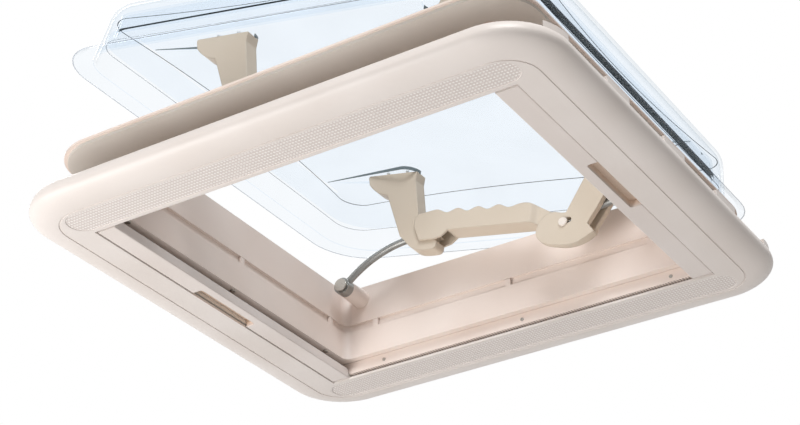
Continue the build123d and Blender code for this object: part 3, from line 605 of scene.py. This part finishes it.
LEDGE_ROWS = (-0.1994, 0.1994)
LEDGE_PLACES = (-0.1719, -0.0089, 0.1541)
LEDGE_Z = 0.017
RAIL_PLACES = (-0.153, 0.010, 0.173)
RAIL_FACE = 0.1934
RAIL_SCREW_Z = 0.010
ledge_heads = [((x, y, LEDGE_Z), (0, 0, -1)) for x in LEDGE_ROWS for y in LEDGE_PLACES]
rail_heads = [
    ((x, sign * RAIL_FACE, RAIL_SCREW_Z), (0, -sign, 0)) for x in RAIL_PLACES for sign in (-1, 1)
]
screw_set("ledge_screw_heads", "ledge_screws", ledge_heads, radius=0.0030, rise=0.0016)
screw_set("rail_screw_heads", "rail_screws", rail_heads, radius=0.0020, rise=0.0006)

# %% [markdown]
# ## Racks in the guide rails
# Under the lip of each rail runs a fine rack that the blind's shoes brake on. One tooth is a small
# block with its point drawn in, and an array modifier repeats it along the rail. The teeth are
# darker than the rail: painted shade for the shadow under the lip.

# %% Racks
TOOTH = Vector((1.5, 5.6, 0.34)) * MM
TOOTH_TIP = 0.45
TOOTH_PITCH = 3.0 * MM
TEETH = 128
RACK_START = -0.1905
RACK_Y = 0.1965
RAIL_LOW = 0.0046

for side, sign in SIDES.items():
    mesh = bmesh.new()
    bmesh.ops.create_cube(mesh, size=1.0)
    bmesh.ops.scale(mesh, vec=TOOTH, verts=mesh.verts)
    tips = [vert for vert in mesh.verts if vert.co.z < 0]
    bmesh.ops.scale(mesh, vec=(TOOTH_TIP, 1.0, 1.0), verts=tips)
    seat = (RACK_START, sign * RACK_Y, RAIL_LOW - TOOTH.z / 2)
    bmesh.ops.translate(mesh, vec=seat, verts=mesh.verts)
    rack = piece(f"rail_rack_{side}", mesh, rack_plastic_painted_shade)
    row = rack.modifiers.new("row", "ARRAY")
    row.use_relative_offset = False
    row.use_constant_offset = True
    row.constant_offset_displace = (TOOTH_PITCH, 0, 0)
    row.count = TEETH
    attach(rack, "frame")
print("racks", TEETH, "teeth each")

# %% [markdown]
# ## Pleated cloths
# Each blind is a sheet creased into many narrow folds. Drawn back, the folds stand packed like an
# accordion between their case and the pull bar; drawn out, every fold opens by the same share. A
# grid is the right start: its columns are lifted in turn, which makes the creases, and the sheet is
# laid out between the case and the bar.

# %% Cloth finishes
def woven(name, colour, deep, pitch, see_through=0.0):
    """Plain weave between two tones, with open meshes where it lets light through."""
    finish = Finish(name)
    y, z = finish.axes()[1:]
    warp = (y * (math.tau / pitch)).math("SINE")
    weft = (z * (math.tau / pitch)).math("SINE")
    thread = finish.spread(warp * weft, -1.0, 1.0)
    shade = finish.noise(0.03, 2.0)
    values = {
        "Base Color": finish.mix(finish.spread(shade, 0.35, 0.65) * 0.6 + thread * 0.4, deep, colour),
        "Roughness": finish.spread(thread, 0.0, 1.0, 0.85, 0.7),
        "Normal": finish.relief(thread, 0.00008),
        "Sheen Weight": 0.2,
    }
    if see_through:
        values["Alpha"] = finish.spread(thread, 0.42, 0.5, 1.0, see_through)
    return finish.surface(values)


blackout_fabric = woven("blackout_fabric", paint(222, 217, 210), paint(205, 199, 191), 0.0011)
flyscreen_fabric = woven(
    "flyscreen_fabric", paint(92, 92, 94), paint(64, 64, 66), 0.0013, see_through=0.35,
)

# %% Fold the cloths
FOLDS = 44
CLOTH_LOW = 3.5 * MM
CLOTH_HIGH = 10.0 * MM
CLOTH_HALF = 187.5 * MM
CLOTH_STRIPS = 16
AT_CASE = 0.2390
AT_BAR = 0.2163
RIPPLE = 0.25 * MM
RIPPLE_TURN = 7.0
RIPPLE_SHIFT = 1.3


def pleated(body, hand, finish):
    """A creased sheet from its case, on one side of the opening, to its bar."""
    outer = hand * AT_CASE
    inner = hand * AT_BAR
    mesh = bmesh.new()
    bmesh.ops.create_grid(mesh, x_segments=2 * FOLDS, y_segments=CLOTH_STRIPS, size=1.0)
    for vert in mesh.verts:
        column = round((vert.co.x + 1) * FOLDS)
        raised = column % 2
        ripple = RIPPLE * math.sin(RIPPLE_TURN * vert.co.y + RIPPLE_SHIFT * column)
        vert.co.x = outer + (inner - outer) * column / (2 * FOLDS)
        vert.co.y *= CLOTH_HALF
        vert.co.z = CLOTH_HIGH - ripple if raised else CLOTH_LOW + ripple
    cut = sum(face.calc_area() for face in mesh.faces) / (2 * CLOTH_HALF)
    cloth = piece(f"{body}_cloth", mesh, finish)
    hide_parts(f"{body}_pleats")
    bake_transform(cloth)
    print(cloth.name, "cut to", round(cut, 3), "m")


pleated("blackout", -1, blackout_fabric)
pleated("flyscreen", 1, flyscreen_fabric)

# %% [markdown]
# ## Floor and light
# The window is lit as in a white studio: a broad soft lamp from the left and below, one above the
# dome that shines down the shaft like the sky, a weak one behind, and an even pale surround. The
# background is white to the camera, in mirrors and through clear sheets, and the floor pale to the
# camera, by the light path, so that they add no light of their own. The floor shows from above
# only, so a camera under it still sees the window.

# %% World
world = bpy.data.worlds.new("studio")
bpy.context.scene.world = world
studio = Sheet(world)
fill = studio.add("ShaderNodeBackground", values={"Color": (1.0, 0.985, 0.97, 1.0), "Strength": 0.3})
white = studio.add("ShaderNodeBackground", values={"Color": (1.0, 1.0, 1.0, 1.0), "Strength": 1.0})
seen = studio.add("ShaderNodeLightPath", out="Is Camera Ray")
for ray in ("Is Transmission Ray", "Is Glossy Ray"):
    seen = seen.math("MAXIMUM", studio.add("ShaderNodeLightPath", out=ray))
surround = studio.add("ShaderNodeMixShader", values={0: seen, 1: fill, 2: white})
studio.add("ShaderNodeOutputWorld", values={"Surface": surround})


# %% Lamps
def soft_lamp(name, at, size, power, colour):
    """A square lamp at a point, turned to the window in the middle."""
    lamp = bpy.data.lights.new(name, "AREA")
    lamp.shape = "SQUARE"
    lamp.size = size
    lamp.energy = power
    lamp.color = colour
    holder = bpy.data.objects.new(name, lamp)
    turn = Vector(at).to_track_quat("Z", "Y").to_matrix().to_4x4()
    holder.matrix_world = Matrix.Translation(at) @ turn
    bpy.context.collection.objects.link(holder)


soft_lamp("key_lamp", (-0.8, -0.9, -0.8), 0.9, 14.5, (1.0, 0.99, 0.98))
soft_lamp("sky_lamp", (0.9, -1.2, 1.7), 1.0, 38.0, (1.0, 0.995, 0.985))
soft_lamp("back_lamp", (-1.2, 0.9, 1.4), 1.0, 12.0, (1.0, 0.995, 0.99))

# %% Floor
FLOOR_HALF = 4.0
FLOOR_Z = -1.25
floor_paint = Finish("floor_paint")
grey = floor_paint.mix(floor_paint.noise(0.5, 2.0), (0.8, 0.79, 0.78, 1.0), (0.83, 0.82, 0.81, 1.0))
matt = floor_paint.add("ShaderNodeBsdfPrincipled", values={"Base Color": grey, "Roughness": 0.9})
glow = {"Color": (1.0, 0.995, 0.99, 1.0), "Strength": 0.95}
pale = floor_paint.add("ShaderNodeEmission", values=glow)
share = floor_paint.add("ShaderNodeLightPath", out="Is Camera Ray") * 0.7
from_above = floor_paint.add("ShaderNodeMixShader", values={0: share, 1: matt, 2: pale})
underneath = floor_paint.add("ShaderNodeNewGeometry", out="Backfacing")
nothing = floor_paint.add("ShaderNodeBsdfTransparent")
one_sided = {0: underneath, 1: from_above, 2: nothing}
floor_paint.output(floor_paint.add("ShaderNodeMixShader", values=one_sided))
mesh = bmesh.new()
bmesh.ops.create_grid(mesh, x_segments=1, y_segments=1, size=FLOOR_HALF)
bmesh.ops.translate(mesh, verts=mesh.verts, vec=(0, 0, FLOOR_Z))
piece("floor", mesh, floor_paint.material)
